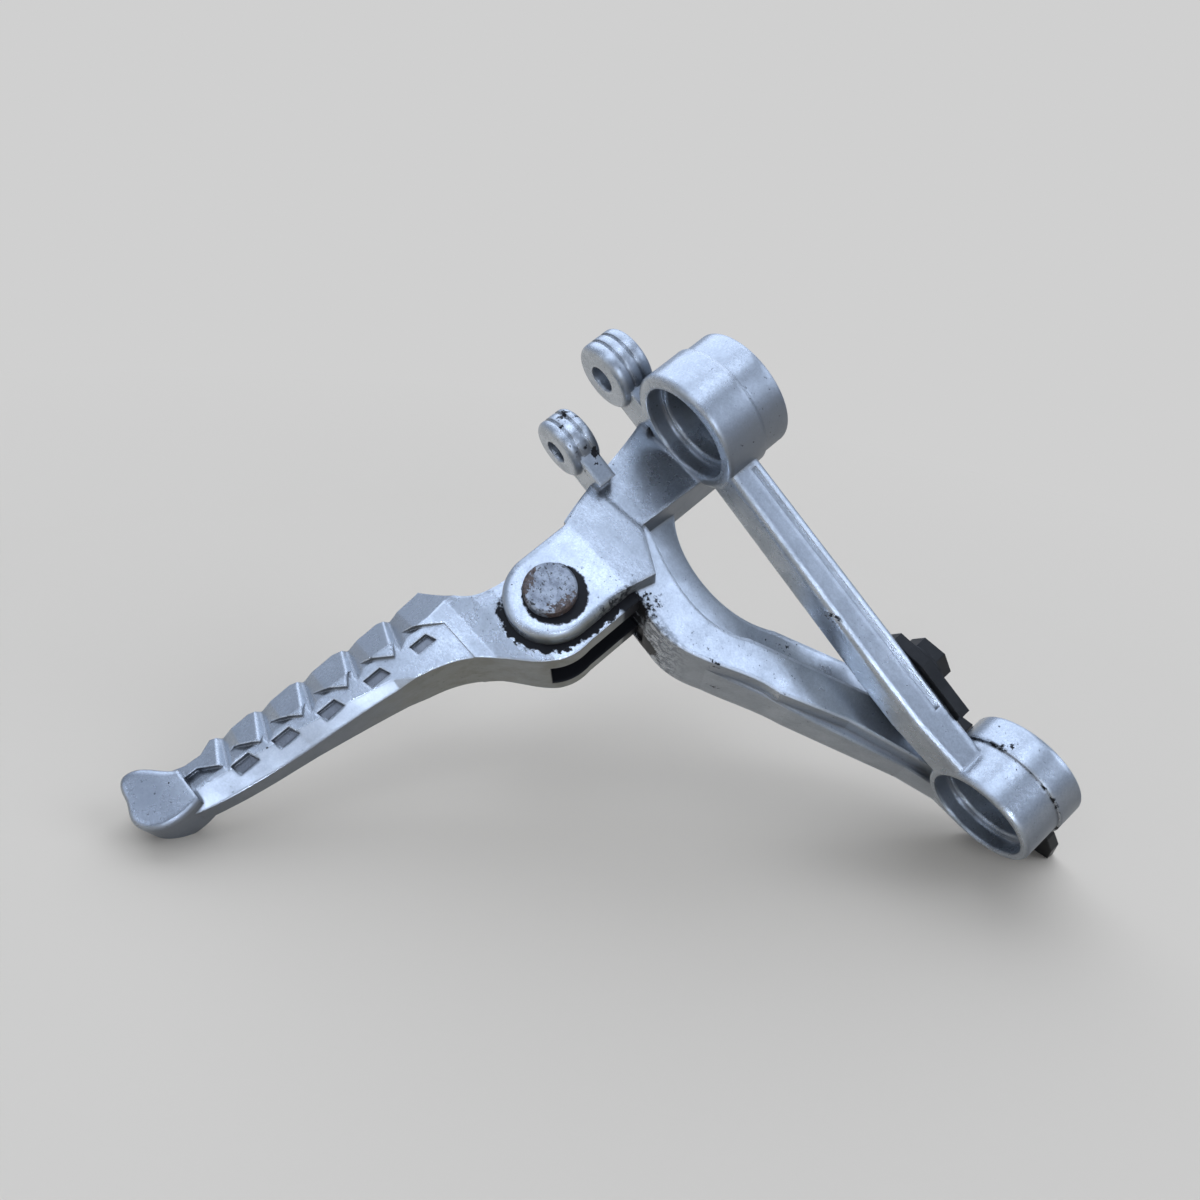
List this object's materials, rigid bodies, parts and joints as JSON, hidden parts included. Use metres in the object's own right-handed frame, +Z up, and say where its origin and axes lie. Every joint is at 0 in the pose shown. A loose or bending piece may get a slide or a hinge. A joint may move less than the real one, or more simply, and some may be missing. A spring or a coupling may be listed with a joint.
{
  "type": "motorcycle rearset",
  "caption": "Right-hand cast passenger footrest bracket with a folding footpeg on a clevis pin, threaded lugs and a cargo hook.",
  "frame": {"origin": "axis of the upper boss's bolt bore at the boss's inboard mounting face", "axes": "+X rearward, +Y outboard to the rider's right, along the bolt bores, +Z up along the line through the bosses"},
  "size_m": [0.0543, 0.1613, 0.1756],
  "materials": {
    "cast_silver": "satin silver paint over cast aluminium",
    "pin_steel": "dull, with light rust",
    "spring_steel": "bright",
    "black_steel": "semi-matt black"
  },
  "bodies": {
    "mount": {"bracket": "cast_silver", "pivot_pin": "pin_steel", "pin_washer": "pin_steel", "pin_clip": "spring_steel", "detent_plate": "pin_steel", "cargo_hook": "black_steel", "hook_bolt": "black_steel"},
    "peg": {"footpeg": "cast_silver", "detent_ball": "spring_steel", "detent_spring": "spring_steel"}
  },
  "joints": [
    {"name": "peg_fold", "type": "hinge", "parent": "mount", "child": "peg", "pos_m": [0.01851, 0.064, -0.01434], "axis": [0.9298, 0, -0.3681], "range_deg": [0, 88]}
  ]
}
